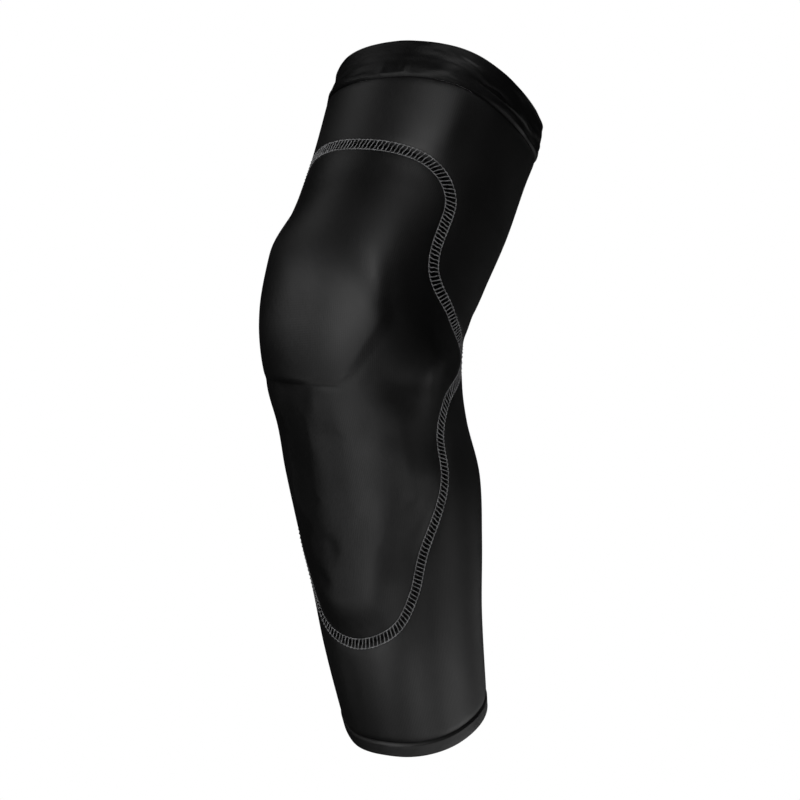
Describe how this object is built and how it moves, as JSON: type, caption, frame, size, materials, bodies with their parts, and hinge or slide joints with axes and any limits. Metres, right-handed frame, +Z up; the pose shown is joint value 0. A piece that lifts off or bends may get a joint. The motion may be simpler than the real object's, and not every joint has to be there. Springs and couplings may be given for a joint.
{
  "type": "mountain bike knee pad",
  "caption": "Stretch-knit leg sleeve bent as worn on the knee, with a padded front panel sewn in along a scalloped seam and a turned hem round each open end.",
  "frame": {"origin": "centre of the knee inside the sleeve, where the wearer's leg holds it", "axes": "+Z up the leg, -Y the way the wearer faces, X across the leg"},
  "size_m": [0.1396, 0.2075, 0.4484],
  "materials": {
    "stretch_knit": "black nylon and elastane stretch knit, satin",
    "pad_face": "black smooth stretch knit over foam, satin",
    "cuff_knit": "black doubled stretch knit, satin",
    "seam_thread": "grey polyester flatlock thread"
  },
  "bodies": {
    "root": {"sleeve": "stretch_knit", "pad_panel": "pad_face", "thigh_cuff": "cuff_knit", "calf_hem": "cuff_knit"}
  },
  "joints": []
}
